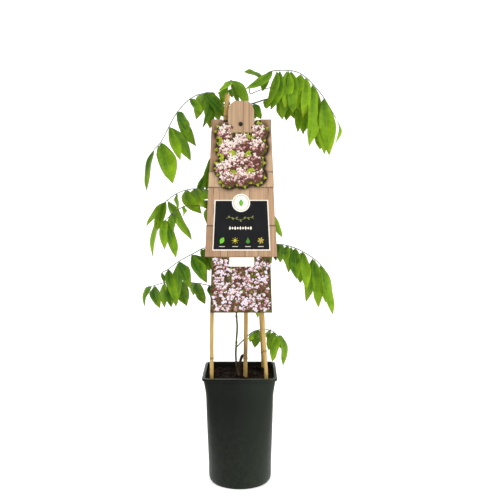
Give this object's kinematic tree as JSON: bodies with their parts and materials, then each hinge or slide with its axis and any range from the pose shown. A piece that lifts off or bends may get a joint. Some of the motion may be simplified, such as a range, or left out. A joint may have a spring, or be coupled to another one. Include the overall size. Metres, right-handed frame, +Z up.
{
  "type": "wisteria in a pot",
  "caption": "Young twining climber with drooping compound leaves on bamboo canes, in a tall tapered nursery pot with a die-cut hanging picture label.",
  "frame": {"origin": "centre of the pot's base, on the surface it stands on", "axes": "+Z up, -Y the front (the label faces it), +X to the right seen from the front"},
  "size_m": [0.3765, 0.2646, 0.7582],
  "materials": {
    "pot_plastic": "dark green-black, satin, slightly scuffed",
    "compost": "dark crumbly peat with brown fibres",
    "bamboo": "straw-coloured natural round cane with raised joints, satin",
    "clip_plastic": "black, smooth",
    "young_bark": "grey-green young stem, brown at the foot, matte",
    "leaf_bright": "fresh green leaf, soft sheen, paler veins",
    "leaf_deep": "mid green leaf, soft sheen, paler veins",
    "label_card": "printed card-like plastic sheet, satin"
  },
  "bodies": {
    "root": {"pot": "pot_plastic", "soil": "compost", "cane_front_left": "bamboo", "cane_front_right": "bamboo", "cane_back_right": "bamboo", "cane_centre": "bamboo", "cane_clip": "clip_plastic", "vine_stem": "young_bark", "frond_upper_left": "leaf_bright", "frond_mid_left": "leaf_deep", "frond_mid_left_low": "leaf_bright", "frond_low_left": "leaf_deep", "frond_lowest_left": "leaf_bright", "frond_upper_right": "leaf_deep", "frond_upper_right_under": "leaf_bright", "shoot_tip": "leaf_deep", "frond_mid_right": "leaf_bright", "frond_lower_right": "leaf_deep", "frond_behind_left": "leaf_bright", "frond_behind_right": "leaf_deep", "frond_behind_low": "leaf_bright", "frond_behind_upper": "leaf_deep", "frond_behind_mid": "leaf_bright", "label_card": "label_card"}
  },
  "joints": []
}
